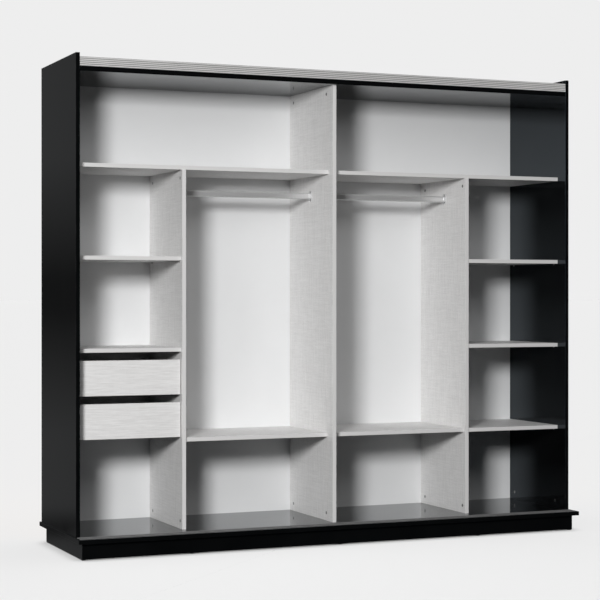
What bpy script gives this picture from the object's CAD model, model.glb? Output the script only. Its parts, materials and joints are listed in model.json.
# %% [markdown]
# # A wide wardrobe carcass for sliding doors
#
# The real object is flat-pack furniture: black high-gloss boards outside, light boards with a linen
# print inside, a white fibreboard back, and a ribbed aluminium rail that doors would hang on.
# The boards, rods, runners and screws come from the CAD model with their own shapes and sizes.
# This script gives every one of them its finish, and sets up the floor, the lights and the camera.

# %% Load the frame
import json
import math
import bpy
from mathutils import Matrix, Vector


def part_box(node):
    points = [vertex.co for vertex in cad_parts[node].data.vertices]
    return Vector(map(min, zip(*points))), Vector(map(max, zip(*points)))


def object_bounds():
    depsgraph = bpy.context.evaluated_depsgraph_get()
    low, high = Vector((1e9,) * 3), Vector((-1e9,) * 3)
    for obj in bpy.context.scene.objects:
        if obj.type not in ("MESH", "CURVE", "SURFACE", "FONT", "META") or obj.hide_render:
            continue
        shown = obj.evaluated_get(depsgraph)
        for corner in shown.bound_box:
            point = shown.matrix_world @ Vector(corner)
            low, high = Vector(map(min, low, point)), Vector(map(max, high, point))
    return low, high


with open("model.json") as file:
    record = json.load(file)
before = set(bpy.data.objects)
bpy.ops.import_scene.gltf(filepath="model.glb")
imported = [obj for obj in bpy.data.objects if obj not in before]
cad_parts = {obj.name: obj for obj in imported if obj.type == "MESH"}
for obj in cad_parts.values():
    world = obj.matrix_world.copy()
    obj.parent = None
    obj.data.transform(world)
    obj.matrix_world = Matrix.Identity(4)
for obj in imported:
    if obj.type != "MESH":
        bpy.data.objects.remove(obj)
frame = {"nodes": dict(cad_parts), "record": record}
NODES = frame["nodes"]
cad_low, cad_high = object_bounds()
print(len(NODES), "CAD nodes, outline", [round(side, 4) for side in cad_high - cad_low])

# %% [markdown]
# ## Colours and the screen
#
# A plain "Standard" view shows each colour as it is mixed. The film-like view that Blender starts
# with would grey the white back panels and lift the blacks, and this object is all about the step
# between the two.

# %% Show colours as they are
scene = bpy.context.scene
scene.view_settings.view_transform = "Standard"
scene.view_settings.look = "None"


def shade(level, warmth=0.0):
    """A near-grey from its display level, 0 to 255. Warmth moves it towards yellow, or to blue below 0."""
    linear = ((level / 255 + 0.055) / 1.055) ** 2.4 if level > 10 else level / 255 / 12.92
    return (linear * (1 + warmth), linear, linear * (1 - warmth), 1)


print("mid grey is", [round(part, 3) for part in shade(128)])

# %% [markdown]
# ## Tools for shader nodes
#
# Every finish below is a small network of nodes. Two short helpers keep the networks readable: one
# adds a node and fills its sockets, the other does arithmetic.

# %% Add nodes
def add(tree, kind, inputs=None, **settings):
    """Adds a shader node. Each input is a plain value, or a socket that gets linked."""
    node = tree.nodes.new("ShaderNode" + kind)
    for name, value in settings.items():
        setattr(node, name, value)
    for key, value in (inputs or {}).items():
        if isinstance(value, bpy.types.NodeSocket):
            tree.links.new(value, node.inputs[key])
        else:
            node.inputs[key].default_value = value
    return node


def calculate(tree, operation, *values, clamp=False):
    inputs = dict(enumerate(values))
    return add(tree, "Math", inputs, operation=operation, use_clamp=clamp).outputs[0]


def remap(tree, value, low, high, to_low=0.0, to_high=1.0):
    """Value moved from one range to another, and held inside the new one."""
    inputs = {"Value": value, "From Min": low, "From Max": high, "To Min": to_low, "To Max": to_high}
    return add(tree, "MapRange", inputs, clamp=True).outputs["Result"]


def mix_colour(tree, share, first, second):
    inputs = {0: share, 6: first, 7: second}
    return add(tree, "Mix", inputs, data_type="RGBA").outputs[2]


def new_group(name, inputs, outputs):
    """An empty node group with float inputs, given with their values, and float outputs."""
    group = bpy.data.node_groups.new(name, "ShaderNodeTree")
    for label, value in inputs.items():
        socket = group.interface.new_socket(label, in_out="INPUT", socket_type="NodeSocketFloat")
        socket.default_value = value
    for label in outputs:
        group.interface.new_socket(label, in_out="OUTPUT", socket_type="NodeSocketFloat")
    entry = group.nodes.new("NodeGroupInput").outputs
    leave = group.nodes.new("NodeGroupOutput").inputs
    return group, entry, leave


def place_group(tree, group, **values):
    """Puts a group into a material. Underscores in the names of the values stand for spaces."""
    node = tree.nodes.new("ShaderNodeGroup")
    node.node_tree = group
    for name, value in values.items():
        socket = node.inputs[name.replace("_", " ")]
        if isinstance(value, bpy.types.NodeSocket):
            tree.links.new(value, socket)
        else:
            socket.default_value = value
    return node.outputs


print("helpers:", add.__name__, calculate.__name__, remap.__name__, mix_colour.__name__, new_group.__name__)

# %% [markdown]
# ## Which face of a board is this?
#
# A laminated board looks different on its broad faces, on its banded front edge and where a tool
# has cut it. All boards here lie square to the axes and have their edges broken by a small
# chamfer. So the direction of a face tells what it is: a face square to an axis is flat, one that
# looks to the front is an edge band, and one that is slanted is a chamfer or the wall of a bore.
# Painting masks by hand would give the same, but would have to be redone for each board.

# %% Group: board faces
SLANTED_BELOW = 0.97
SQUARE_ABOVE = 0.995


def make_board_faces():
    group, _, leave = new_group("board faces", {}, ("Slanted", "Front"))
    normal = add(group, "NewGeometry").outputs["True Normal"]
    sides = add(group, "SeparateXYZ", {0: normal}).outputs
    sizes = [calculate(group, "ABSOLUTE", side) for side in sides]
    largest = calculate(group, "MAXIMUM", calculate(group, "MAXIMUM", sizes[0], sizes[1]), sizes[2])
    group.links.new(remap(group, largest, SLANTED_BELOW, SQUARE_ABOVE, 1.0, 0.0), leave["Slanted"])
    group.links.new(remap(group, sides[1], -SQUARE_ABOVE, -SLANTED_BELOW, 1.0, 0.0), leave["Front"])
    return group


BOARD_FACES = make_board_faces()
print("group", BOARD_FACES.name, "has", len(BOARD_FACES.nodes), "nodes")

# %% [markdown]
# ## Threads: linen print, grain and brushing
#
# Linen paper, fine straight grain and brushed metal share one look: thin streaks that run one way.
# Here a streak is noise that has been stretched along an axis. The group mixes streaks along all
# three axes, each with its own share, so one group serves linen (all three), grain and brushing
# (mostly one). It reads the object's own coordinates, so the streaks keep their real size on
# boards of any size.

# %% Group: threads
def make_threads():
    inputs = {"Along X": 1.0, "Along Y": 1.0, "Along Z": 1.0, "Length": 0.05, "Width": 0.0015}
    group, entry, leave = new_group("threads", inputs, ("Threads",))
    place = add(group, "TexCoord").outputs["Object"]
    long_scale = calculate(group, "DIVIDE", 1.0, entry["Length"])
    fine_scale = calculate(group, "DIVIDE", 1.0, entry["Width"])
    total, weight = None, None
    for axis, label in enumerate(("Along X", "Along Y", "Along Z")):
        scales = {side: (long_scale if side == axis else fine_scale) for side in range(3)}
        stretch = add(group, "CombineXYZ", scales).outputs[0]
        vector = add(group, "VectorMath", {0: place, 1: stretch}, operation="MULTIPLY").outputs[0]
        noise = add(group, "TexNoise", {"Vector": vector, "Scale": 1.0, "Detail": 2.0, "Roughness": 0.6})
        part = calculate(group, "MULTIPLY", noise.outputs["Fac"], entry[label])
        total = part if total is None else calculate(group, "ADD", total, part)
        weight = entry[label] if weight is None else calculate(group, "ADD", weight, entry[label])
    mean = calculate(group, "DIVIDE", total, weight)
    group.links.new(remap(group, mean, 0.32, 0.68), leave["Threads"])
    return group


THREADS = make_threads()
print("group", THREADS.name, "has", len(THREADS.nodes), "nodes")

# %% [markdown]
# ## Handling: smudges and dust
#
# Gloss boards are wiped by hand, and dust settles on what faces up. Broad soft noise stands for the
# wiped areas, which differ in roughness but hardly in colour. Fine noise, cut so that only its
# peaks stay, stands for specks of dust, and only upward faces get them.

# %% Group: handling
def make_handling():
    group, entry, leave = new_group("handling", {"Smudge Size": 0.25, "Dust": 0.5}, ("Smudge", "Dust"))
    place = add(group, "TexCoord").outputs["Object"]
    smudge_scale = calculate(group, "DIVIDE", 1.0, entry["Smudge Size"])
    inputs = {"Vector": place, "Scale": smudge_scale, "Detail": 5.0, "Roughness": 0.55, "Distortion": 0.6}
    smudge = add(group, "TexNoise", inputs).outputs["Fac"]
    group.links.new(remap(group, smudge, 0.3, 0.7), leave["Smudge"])
    specks = add(group, "TexNoise", {"Vector": place, "Scale": 420.0, "Detail": 1.0}).outputs["Fac"]
    normal = add(group, "NewGeometry").outputs["True Normal"]
    upward = remap(group, add(group, "SeparateXYZ", {0: normal}).outputs["Z"], 0.3, 0.9)
    peaks = calculate(group, "MULTIPLY", remap(group, specks, 0.6, 0.78), upward)
    group.links.new(calculate(group, "MULTIPLY", peaks, entry["Dust"], clamp=True), leave["Dust"])
    return group


HANDLING = make_handling()
print("group", HANDLING.name, "has", len(HANDLING.nodes), "nodes")

# %% [markdown]
# ## Edge wear
#
# Corners get knocked first. The chamfers are already known from the board faces group, so wear is
# that mask broken up by noise: some stretches are rubbed, others are as new.

# %% Group: edge wear
def make_edge_wear():
    group, entry, leave = new_group("edge wear", {"Edge": 0.0, "Amount": 0.5, "Patch Size": 0.04}, ("Wear",))
    place = add(group, "TexCoord").outputs["Object"]
    scale = calculate(group, "DIVIDE", 1.0, entry["Patch Size"])
    patches = add(group, "TexNoise", {"Vector": place, "Scale": scale, "Detail": 4.0}).outputs["Fac"]
    rubbed = remap(group, patches, 0.45, 0.65)
    worn = calculate(group, "MULTIPLY", calculate(group, "MULTIPLY", rubbed, entry["Edge"]), entry["Amount"])
    group.links.new(worn, leave["Wear"])
    return group


EDGE_WEAR = make_edge_wear()
print("group", EDGE_WEAR.name, "has", len(EDGE_WEAR.nodes), "nodes")

# %% [markdown]
# ## Zinc spangle
#
# Hot-dip and plated zinc shows faint crystals, each with its own brightness. Cells of Voronoi noise
# give them their straight sides, which plain noise can't.

# %% Group: zinc spangle
def make_spangle():
    group, entry, leave = new_group("zinc spangle", {"Crystal Size": 0.004}, ("Crystals",))
    place = add(group, "TexCoord").outputs["Object"]
    scale = calculate(group, "DIVIDE", 1.0, entry["Crystal Size"])
    cells = add(group, "TexVoronoi", {"Vector": place, "Scale": scale}).outputs["Color"]
    bright = add(group, "SeparateColor", {0: cells}).outputs[0]
    group.links.new(bright, leave["Crystals"])
    return group


SPANGLE = make_spangle()
print("group", SPANGLE.name, "has", len(SPANGLE.nodes), "nodes")

# %% [markdown]
# ## A new material
#
# Each finish starts the same way: a Principled BSDF with plain values on its own sockets, and the
# colour, roughness and normal left free for the nodes that vary over the surface.

# %% Start and finish a material
def new_material(name, **plain):
    """A material and its Principled BSDF. Underscores in the names of the values stand for spaces."""
    material = bpy.data.materials.new(name)
    material.use_nodes = True
    shader = material.node_tree.nodes["Principled BSDF"]
    for label, value in plain.items():
        shader.inputs[label.replace("_", " ")].default_value = value
    return material, material.node_tree, shader


def connect(tree, shader, colour=None, roughness=None, height=None, relief=0.0002):
    """Feeds the shader. Height goes through a bump node whose relief is in metres."""
    if colour is not None:
        tree.links.new(colour, shader.inputs["Base Color"])
    if roughness is not None:
        tree.links.new(roughness, shader.inputs["Roughness"])
    if height is not None:
        bump = add(tree, "Bump", {"Height": height, "Distance": relief, "Strength": 1.0})
        tree.links.new(bump.outputs["Normal"], shader.inputs["Normal"])


print("helpers:", new_material.__name__, connect.__name__)

# %% [markdown]
# ## Light boards
#
# The dividers and shelves are particle board under a melamine paper printed like linen: a warm
# light grey with fine threads and a few thicker ones, called slubs, and nearly matt. Their front
# edges carry a plain plastic band. The drawer fronts have the same paper with its threads lying
# flat, over the whole front, so they are made without the band. The drawer boxes are a plainer
# mid grey. Chamfers and the walls of bores turn browner in patches, where the chips show.

# %% Material: linen board
def make_light_board(name, level, band_level, along, length, width, contrast, relief, banded=1.0):
    material, tree, shader = new_material(name, Specular_IOR_Level=0.5)
    faces = place_group(tree, BOARD_FACES)
    threads = place_group(tree, THREADS, Along_X=along[0], Along_Y=along[1], Along_Z=along[2],
                          Length=length, Width=width)["Threads"]
    slubs = place_group(tree, THREADS, Along_X=along[0], Along_Y=along[1], Along_Z=along[2],
                        Length=length * 2, Width=width * 3.5)["Threads"]
    handling = place_group(tree, HANDLING, Smudge_Size=0.4, Dust=0.0)
    wear = place_group(tree, EDGE_WEAR, Edge=faces["Slanted"], Amount=0.5)["Wear"]
    weave = calculate(tree, "MULTIPLY", calculate(tree, "ADD", threads, slubs), 0.5)
    paper = mix_colour(tree, weave, shade(level - contrast, 0.012), shade(level + contrast, 0.006))
    clouds = mix_colour(tree, remap(tree, handling["Smudge"], 0, 1, 0.0, 0.06), paper, shade(level - 40))
    band_share = calculate(tree, "MULTIPLY", faces["Front"], banded)
    edged = mix_colour(tree, band_share, clouds, shade(band_level, 0.008))
    colour = mix_colour(tree, wear, edged, shade(150, 0.12))
    rough = remap(tree, threads, 0, 1, 0.58, 0.44)
    smooth_band = calculate(tree, "SUBTRACT", rough, calculate(tree, "MULTIPLY", band_share, 0.14))
    connect(tree, shader, colour, smooth_band, threads, relief)
    return material


LINEN_BOARD = make_light_board("linen_board", 224, 216, (0.8, 0.8, 1.0), 0.060, 0.0016, 26, 0.00012)
DRAWER_FRONT = make_light_board("drawer_front", 225, 228, (1.0, 0.2, 0.1), 0.045, 0.0016, 15, 0.00015,
                                banded=0.0)
DRAWER_BOX = make_light_board("drawer_box", 150, 150, (1.0, 1.0, 0.2), 0.120, 0.0009, 6, 0.00005)
print("light boards:", LINEN_BOARD.name, DRAWER_FRONT.name, DRAWER_BOX.name)

# %% [markdown]
# ## Black gloss boards
#
# The outer boards carry a black lacquer that mirrors what stands near it, a little coldly, which
# a bluish tint on its gloss gives. Real lacquer isn't perfectly flat: a very shallow ripple,
# called orange peel, bends the reflections a little. Smudges change the roughness, and the worn
# chamfers turn grey.

# %% Material: black gloss
def make_black_gloss(name, level, roughness, dust):
    material, tree, shader = new_material(name, IOR=1.43, Specular_Tint=(0.58, 0.81, 1.0, 1))
    faces = place_group(tree, BOARD_FACES)
    handling = place_group(tree, HANDLING, Smudge_Size=0.30, Dust=dust)
    wear = place_group(tree, EDGE_WEAR, Edge=faces["Slanted"], Amount=0.35)["Wear"]
    place = add(tree, "TexCoord").outputs["Object"]
    peel = add(tree, "TexNoise", {"Vector": place, "Scale": 130.0, "Detail": 1.0}).outputs["Fac"]
    black = mix_colour(tree, handling["Smudge"], shade(level, -0.06), shade(level + 5, -0.03))
    dusty = mix_colour(tree, handling["Dust"], black, shade(120, 0.03))
    colour = mix_colour(tree, wear, dusty, shade(85, 0.02))
    rough = remap(tree, handling["Smudge"], 0, 1, roughness, roughness + 0.05)
    worn_rough = calculate(tree, "ADD", rough, calculate(tree, "MULTIPLY", faces["Slanted"], 0.25))
    connect(tree, shader, colour, worn_rough, peel, 0.00001)
    return material


BLACK_GLOSS = make_black_gloss("black_gloss", 6, 0.06, 0.15)
RAW_BLACK = make_black_gloss("plain_black_board", 40, 0.45, 0.0)
print("black boards:", BLACK_GLOSS.name, RAW_BLACK.name)

# %% [markdown]
# ## White back panels
#
# Thin fibreboard with a plain white, slightly cold paper. Its face is smooth but not flat: it
# bulges a little between its grooves, which is too slight to see except in its sheen. The rear
# side of such a board is bare brown fibre.

# %% Material: white fibreboard
def make_fibreboard(name, level, cold):
    material, tree, shader = new_material(name, Specular_IOR_Level=0.35)
    normal = add(tree, "NewGeometry").outputs["True Normal"]
    backward = remap(tree, add(tree, "SeparateXYZ", {0: normal}).outputs["Y"], 0.4, 0.8)
    fibres = place_group(tree, THREADS, Along_X=1.0, Along_Y=1.0, Along_Z=1.0, Length=0.006, Width=0.0012)
    handling = place_group(tree, HANDLING, Smudge_Size=0.5, Dust=0.0)
    paper = mix_colour(tree, handling["Smudge"], shade(level, cold), shade(level - 4, cold))
    grained = mix_colour(tree, remap(tree, fibres["Threads"], 0, 1, 0.0, 0.05), paper, shade(level - 50))
    bare = mix_colour(tree, fibres["Threads"], (0.20, 0.115, 0.055, 1), (0.32, 0.20, 0.105, 1))
    colour = mix_colour(tree, backward, grained, bare)
    rough = remap(tree, handling["Smudge"], 0, 1, 0.42, 0.55)
    connect(tree, shader, colour, rough, fibres["Threads"], 0.00003)
    return material


BACK_PANEL = make_fibreboard("white_fibreboard", 231, -0.006)
DRAWER_BOTTOM = make_fibreboard("drawer_bottom_board", 226, -0.01)
print("fibreboards:", BACK_PANEL.name, DRAWER_BOTTOM.name)

# %% [markdown]
# ## Metals
#
# The door rail is extruded aluminium, brushed along its length and anodised. The hanging rods are
# steel tube with a satin plating. The brackets are bright chrome. Runners, screws and pins are
# zinc plated: the runners show crystals, the small parts only fine brushing.
#
# Anodised and satin metal also scatters light, much as paint does, so those finishes are only
# partly metallic. The rail's ribs are a millimetre high, and soft light hardly darkens what lies
# between them, so its material darkens by depth behind the rail's front.

# %% Measure the rail's ribs
GROOVE_LEVEL = 140
RIB_HEIGHT = 0.001
rail = NODES["top_running_rail"]
rail_front = (rail.matrix_world.inverted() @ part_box("top_running_rail")[0]).y
print("the rail's front is at", round(rail_front, 4), "in its own frame")


# %% Material: metal with streaks
def make_metal(name, level, warmth, rough_low, rough_high, along, length, width, relief,
               crystals=0.0, metallic=1.0, grooves=None):
    material, tree, shader = new_material(name, Metallic=metallic)
    threads = place_group(tree, THREADS, Along_X=along[0], Along_Y=along[1], Along_Z=along[2],
                          Length=length, Width=width)["Threads"]
    handling = place_group(tree, HANDLING, Smudge_Size=0.12, Dust=0.0)
    faces = place_group(tree, BOARD_FACES)
    wear = place_group(tree, EDGE_WEAR, Edge=faces["Slanted"], Amount=0.3, Patch_Size=0.01)["Wear"]
    metal = mix_colour(tree, threads, shade(level - 14, warmth), shade(level + 10, warmth))
    crystal = place_group(tree, SPANGLE, Crystal_Size=0.005)["Crystals"]
    dark_share = calculate(tree, "MULTIPLY", crystal, crystals)
    mottled = mix_colour(tree, dark_share, metal, shade(level - 60, warmth))
    if grooves is not None:
        front, depth = grooves
        place = add(tree, "SeparateXYZ", {0: add(tree, "TexCoord").outputs["Object"]}).outputs["Y"]
        low = remap(tree, place, front + 0.1 * depth, front + 0.9 * depth)
        mottled = mix_colour(tree, low, mottled, shade(GROOVE_LEVEL, warmth))
    colour = mix_colour(tree, wear, mottled, shade(min(level + 25, 250), warmth))
    mixed = calculate(tree, "ADD", calculate(tree, "MULTIPLY", threads, 0.6),
                      calculate(tree, "MULTIPLY", handling["Smudge"], 0.4))
    rough = remap(tree, mixed, 0.2, 0.8, rough_low, rough_high)
    connect(tree, shader, colour, rough, threads, relief)
    return material


print("helper:", make_metal.__name__)

# %% Metals of this wardrobe
RAIL_ALUMINIUM = make_metal("rail_aluminium", 230, 0.01, 0.40, 0.52, (1.0, 0.1, 0.1), 0.25, 0.0008, 0.00002,
                            metallic=0.45, grooves=(rail_front, RIB_HEIGHT))
STRIP_ALUMINIUM = make_metal("strip_aluminium", 135, 0.0, 0.25, 0.38, (1.0, 0.1, 0.1), 0.25, 0.0006, 0.00002,
                             metallic=0.4)
ROD_STEEL = make_metal("rod_steel", 214, 0.0, 0.28, 0.40, (1.0, 0.1, 0.1), 0.12, 0.0006, 0.00001,
                       metallic=0.55)
CHROME = make_metal("bracket_chrome", 225, -0.01, 0.05, 0.14, (1.0, 1.0, 1.0), 0.01, 0.0010, 0.000002)
ZINC_CAM = make_metal("cam_zinc", 150, 0.01, 0.30, 0.45, (1.0, 1.0, 1.0), 0.002, 0.0008, 0.00004)
PLATED_STEEL = make_metal("plated_steel", 205, 0.02, 0.18, 0.32, (1.0, 1.0, 1.0), 0.004, 0.0005, 0.00001)
RUNNER_STEEL = make_metal("runner_steel", 205, -0.01, 0.24, 0.36, (0.1, 1.0, 0.1), 0.08, 0.0008, 0.00001,
                          crystals=0.35, metallic=0.75)
print("metals:", RAIL_ALUMINIUM.name, ROD_STEEL.name, CHROME.name, RUNNER_STEEL.name)

# %% [markdown]
# ## Plastics and beech
#
# The floor glides and the strip that joins the back panels are moulded and extruded plastic, with
# a fine spark-eroded grain. The dowels are turned beech, compressed and fluted in reality: here
# darker pores along the grain give the wood.

# %% Material: plastic
def make_plastic(name, level, rough_low, rough_high):
    material, tree, shader = new_material(name, Specular_IOR_Level=0.45)
    place = add(tree, "TexCoord").outputs["Object"]
    grain = add(tree, "TexNoise", {"Vector": place, "Scale": 1600.0, "Detail": 2.0}).outputs["Fac"]
    handling = place_group(tree, HANDLING, Smudge_Size=0.06, Dust=0.0)
    colour = mix_colour(tree, handling["Smudge"], shade(level), shade(level + 8))
    rough = remap(tree, grain, 0.3, 0.7, rough_low, rough_high)
    connect(tree, shader, colour, rough, grain, 0.00003)
    return material


def make_beech(name):
    material, tree, shader = new_material(name, Specular_IOR_Level=0.3)
    pores = place_group(tree, THREADS, Along_X=0.6, Along_Y=0.6, Along_Z=1.0, Length=0.012, Width=0.0005)
    colour = mix_colour(tree, pores["Threads"], (0.30, 0.165, 0.075, 1), (0.52, 0.335, 0.175, 1))
    rough = remap(tree, pores["Threads"], 0, 1, 0.75, 0.6)
    connect(tree, shader, colour, rough, pores["Threads"], 0.0001)
    return material


WHITE_PLASTIC = make_plastic("joining_strip_plastic", 222, 0.35, 0.5)
GLIDE_PLASTIC = make_plastic("glide_plastic", 36, 0.45, 0.65)
BEECH = make_beech("beech")
print("others:", WHITE_PLASTIC.name, GLIDE_PLASTIC.name, BEECH.name)

# %% [markdown]
# ## Give every CAD node its finish
#
# The record names a material slot for each node. One table turns slots into finishes, so a node
# can't be missed: a slot without a finish stops the script.

# %% Dress the nodes
FINISHES = {
    "black_gloss_board": BLACK_GLOSS,
    "raw_black_board": RAW_BLACK,
    "light_linen_board": LINEN_BOARD,
    "drawer_front_board": DRAWER_FRONT,
    "drawer_box_board": DRAWER_BOX,
    "white_back_panel": BACK_PANEL,
    "white_drawer_bottom": DRAWER_BOTTOM,
    "white_plastic": WHITE_PLASTIC,
    "ribbed_aluminium": RAIL_ALUMINIUM,
    "running_strip_aluminium": STRIP_ALUMINIUM,
    "rod_steel": ROD_STEEL,
    "chrome_bracket": CHROME,
    "zinc_cam": ZINC_CAM,
    "plated_steel": PLATED_STEEL,
    "runner_steel": RUNNER_STEEL,
    "beech_dowel": BEECH,
    "black_plastic_glide": GLIDE_PLASTIC,
}
SLOTS = {part["node"]: part["material_slot"] for part in frame["record"]["subparts"]}
for name, node in NODES.items():
    finish = FINISHES[SLOTS[name]]
    node.data.materials.clear()
    node.data.materials.append(finish)
print("dressed", len(NODES), "nodes in", len(set(SLOTS.values())), "finishes")

# %% [markdown]
# ## Floor
#
# A plain pale floor that fades into the same pale surroundings, as on a studio sweep. It is kept
# out of reflections and bounced light, because a studio floor is mostly flagged off there.
#
# The light on the floor casts no shadow, so that the floor stays even. An ambient occlusion node
# measures how open each spot is instead: spots near the plinth are darker, and spots under it black.

# %% Floor
PALE = 238
FLOOR_REACH = 400.0
CONTACT_REACH = 0.08
CONTACT_LEVEL = 205
bpy.ops.mesh.primitive_plane_add(size=2 * FLOOR_REACH, location=(0, 0, cad_low.z))
floor = bpy.context.object
floor.name = "floor"
floor_material, floor_tree, floor_shader = new_material("pale_floor", Roughness=0.9, Specular_IOR_Level=0.0)
grain = add(floor_tree, "TexNoise", {"Scale": 3.0, "Detail": 3.0}).outputs["Fac"]
plain = mix_colour(floor_tree, grain, shade(237), shade(239))
open_share = add(floor_tree, "AmbientOcclusion", {"Distance": CONTACT_REACH}, samples=12).outputs["AO"]
beside_plinth = remap(floor_tree, open_share, 0.5, 0.95)
softened = mix_colour(floor_tree, beside_plinth, shade(CONTACT_LEVEL), plain)
out_from_under = remap(floor_tree, open_share, 0.12, 0.34)
connect(floor_tree, floor_shader, mix_colour(floor_tree, out_from_under, (0, 0, 0, 1), softened))
floor.data.materials.append(floor_material)
floor.visible_glossy = False
floor.visible_diffuse = False
print("floor at", round(cad_low.z, 4))

# %% [markdown]
# ## Lights
#
# The key soft box stands in front, to the left and a little above. It draws the shadow of each
# upright on the back panel behind it. It is aimed low and to the right of the object, so that the
# near and upper parts don't get much more of its light than the far ones. A weak fill in front and
# the dim surroundings soften the shadows, a rear soft box lights the back, and a small one lights
# only the rail. The floor has its own overhead light.
#
# Black gloss shows mainly what it mirrors. So the surroundings glow a little behind the object,
# except near the horizon and in one thin line lower down, and more at the right and overhead. Two
# soft boxes are left out of reflections: the fill would make the rail and the rods too bright, and
# the rear one would turn the black top panel white when it is seen from above.

# %% Surroundings
world = bpy.data.worlds.new("surroundings")
scene.world = world
world.use_nodes = True
sky = world.node_tree
sky.nodes.clear()
seen = add(sky, "Background", {"Color": shade(PALE), "Strength": 1.0}).outputs[0]
AMBIENT = 0.027
SIDE_GLOW = 0.093
RIGHT_GLOW = 0.25
TOP_GLOW = 0.30
LINE_TOP = (-0.133, -0.122)
LINE_BOTTOM = (-0.141, -0.137)
FAR_OUT = (0.70, 0.92)
direction = add(sky, "SeparateXYZ", {0: add(sky, "TexCoord").outputs["Generated"]}).outputs
behind = remap(sky, direction["Y"], 0.2, 0.5)
off_level = remap(sky, calculate(sky, "ABSOLUTE", direction["Z"]), 0.01, 0.08)
above_line = remap(sky, direction["Z"], *LINE_TOP)
below_line = remap(sky, direction["Z"], *LINE_BOTTOM, 1.0, 0.0)
off_line = calculate(sky, "ADD", above_line, below_line)
side_share = calculate(sky, "MULTIPLY", calculate(sky, "MULTIPLY", behind, off_level), off_line)
glow = calculate(sky, "MULTIPLY", side_share, SIDE_GLOW)
right_share = calculate(sky, "MULTIPLY", remap(sky, direction["X"], *FAR_OUT),
                        remap(sky, direction["Z"], -0.12, 0.16, 0.1, 1.0))
from_right = calculate(sky, "MULTIPLY", right_share, RIGHT_GLOW)
from_above = calculate(sky, "MULTIPLY", remap(sky, direction["Z"], *FAR_OUT), TOP_GLOW)
all_glow = calculate(sky, "ADD", glow, calculate(sky, "ADD", from_right, from_above))
strength = calculate(sky, "ADD", all_glow, AMBIENT)
unseen = add(sky, "Background", {"Color": (1.0, 1.0, 1.0, 1), "Strength": strength}).outputs[0]
is_seen = add(sky, "LightPath").outputs["Is Camera Ray"]
both = add(sky, "MixShader", {0: is_seen, 1: unseen, 2: seen}).outputs[0]
sky.links.new(both, sky.nodes.new("ShaderNodeOutputWorld").inputs["Surface"])
print("surroundings:", world.name, "with", len(sky.nodes), "nodes")

# %% Ways to make and limit a light
centre = (cad_low + cad_high) / 2


def add_softbox(name, place, size, power, target=centre):
    """A square soft box at a place, turned to look at a target."""
    light = bpy.data.lights.new(name, "AREA")
    light.shape = "SQUARE"
    light.size = size
    light.energy = power
    lamp = bpy.data.objects.new(name, light)
    scene.collection.objects.link(lamp)
    lamp.location = place
    lamp.rotation_euler = (Vector(target) - Vector(place)).to_track_quat("-Z", "Y").to_euler()
    return lamp


def shine_only_on(lamp, things):
    """Limits a light to some objects."""
    chosen = bpy.data.collections.new(lamp.name + "_lights")
    for thing in things:
        chosen.objects.link(thing)
    lamp.light_linking.receiver_collection = chosen


print("centre of the object:", [round(part, 3) for part in centre])

# %% Soft boxes
key = add_softbox("key_softbox", place=(-4.1, -5.93, 2.48), size=1.2, power=510.0, target=(8.1, 0.0, -7.8))
fill = add_softbox("fill_softbox", place=(0.0, -4.2, 3.4), size=1.8, power=34.0)
fill.visible_glossy = False
rear = add_softbox("rear_softbox", place=(3.4, 5.6, 3.0), size=3.2, power=380.0)
rear.visible_glossy = False
rail_light = add_softbox("rail_softbox", place=(4.4, -4.4, 2.75), size=0.6, power=15.0,
                         target=(0.9, -0.3, 2.15))
print("soft boxes:", key.name, fill.name, rear.name, rail_light.name)

# %% Floor light
FLOOR_LIGHT_SPREAD = math.radians(9)
FLOOR_LIGHT_STRENGTH = 2.62
overhead = bpy.data.lights.new("floor_light", "SUN")
overhead.angle = FLOOR_LIGHT_SPREAD
overhead.energy = FLOOR_LIGHT_STRENGTH
overhead.use_shadow = False
overhead_lamp = bpy.data.objects.new("floor_light", overhead)
scene.collection.objects.link(overhead_lamp)
shine_only_on(overhead_lamp, [floor])
print("floor light:", overhead_lamp.name, "of strength", round(overhead.energy, 2))

# %% Keep the other lights off the floor
object_parts = [thing for thing in scene.objects if thing.type == "MESH" and thing is not floor]
shine_only_on(key, object_parts)
shine_only_on(fill, object_parts)
shine_only_on(rear, object_parts)
shine_only_on(rail_light, [rail])

# %% [markdown]
# ## Camera
#
# A long lens, about 100 mm, seen from the left at breast height and held almost level, so that
# upright edges stay upright.

# %% Camera
VIEW_TURN = math.radians(23.18)
VIEW_DISTANCE = 7.773
VIEW_HEIGHT = 1.1373
AIM_ACROSS = -0.188
AIM_HEIGHT = 1.1187
LENS = 102.3
front_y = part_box("side_panel_left")[0].y
aim = Vector((AIM_ACROSS, front_y, AIM_HEIGHT))
camera = bpy.data.objects.new("camera", bpy.data.cameras.new("camera"))
scene.collection.objects.link(camera)
camera.location = (aim.x - VIEW_DISTANCE * math.sin(VIEW_TURN),
                   aim.y - VIEW_DISTANCE * math.cos(VIEW_TURN), VIEW_HEIGHT)
camera.rotation_euler = (aim - camera.location).to_track_quat("-Z", "Y").to_euler()
camera.data.lens = LENS
scene.camera = camera
print("camera at", [round(part, 3) for part in camera.location])
